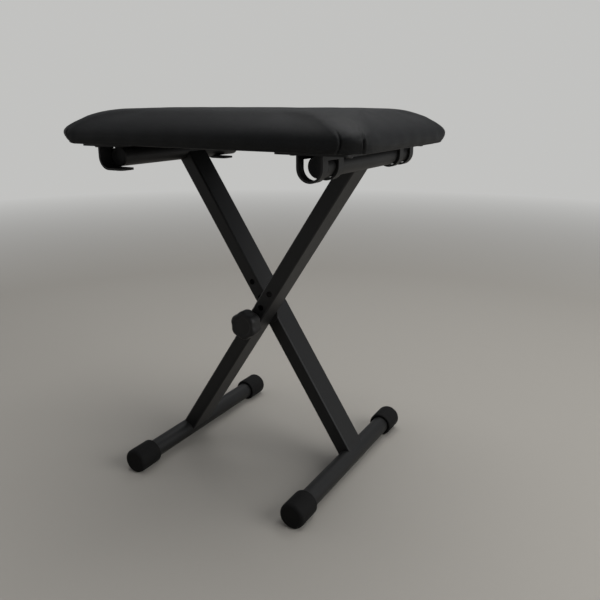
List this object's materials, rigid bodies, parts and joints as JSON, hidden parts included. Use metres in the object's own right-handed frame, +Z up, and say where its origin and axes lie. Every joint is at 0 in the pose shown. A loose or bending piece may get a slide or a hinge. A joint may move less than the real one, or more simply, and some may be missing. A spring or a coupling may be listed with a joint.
{
  "type": "folding keyboard bench",
  "caption": "Folding keyboard bench with a padded leatherette seat on a single X of steel tube legs, round tube feet with rubber caps and a clamping knob at the crossing.",
  "frame": {"origin": "on the floor under the middle of the bench's overall box, in the plane where the legs meet", "axes": "+X to the right along the seat's length, +Y to the back along the feet, +Z up"},
  "size_m": [0.4338, 0.31, 0.4898],
  "materials": {
    "black_powder_coat": "satin black powder coat on steel",
    "cap_rubber": "matt black rubber",
    "plug_plastic": "matt black polyethylene",
    "knob_plastic": "fine textured black nylon",
    "insert_brass": "turned brass",
    "zinc_steel": "bright zinc plate",
    "black_screw": "black oxide",
    "board_plywood": "bare plywood",
    "seat_foam": "open cell polyurethane foam",
    "seat_leatherette": "black grained leatherette, low sheen",
    "dust_cloth": "black non-woven cloth"
  },
  "bodies": {
    "front_frame": {"front_leg_tube": "black_powder_coat", "left_foot_tube": "black_powder_coat", "right_top_tube": "black_powder_coat", "left_foot_front_cap": "cap_rubber", "left_foot_rear_cap": "cap_rubber", "right_top_front_plug": "plug_plastic", "right_top_rear_plug": "plug_plastic", "crossing_bolt": "zinc_steel", "front_washer": "zinc_steel", "rear_washer": "zinc_steel", "leg_spacer_washer": "plug_plastic"},
    "rear_frame": {"rear_leg_tube": "black_powder_coat", "right_foot_tube": "black_powder_coat", "left_top_tube": "black_powder_coat", "right_foot_front_cap": "cap_rubber", "right_foot_rear_cap": "cap_rubber", "left_top_front_plug": "plug_plastic", "left_top_rear_plug": "plug_plastic"},
    "seat": {"seat_board": "board_plywood", "seat_foam": "seat_foam", "seat_cover": "seat_leatherette", "seat_dust_cloth": "dust_cloth", "front_pivot_bracket": "black_powder_coat", "rear_pivot_bracket": "black_powder_coat", "front_hook_bracket": "black_powder_coat", "rear_hook_bracket": "black_powder_coat", "bracket_screws": "black_screw"},
    "knob": {"clamping_knob": "knob_plastic", "knob_thread_insert": "insert_brass"}
  },
  "joints": [
    {"name": "leg_fold", "type": "hinge", "parent": "front_frame", "child": "rear_frame", "pos_m": [0.01025, 0, 0.21161], "axis": [0, 1, 0], "range_deg": [0, 54]},
    {"name": "seat_tilt", "type": "hinge", "parent": "front_frame", "child": "seat", "pos_m": [0.15294, 0, 0.43134], "axis": [0, 1, 0], "range_deg": [0, 27]},
    {"name": "knob_turn", "type": "hinge", "parent": "front_frame", "child": "knob", "pos_m": [0.01025, -0.06, 0.21161], "axis": [0, 1, 0], "continuous": true}
  ],
  "couplings": [
    {"joint": "seat_tilt", "follows": "leg_fold", "ratio": 0.5}
  ]
}
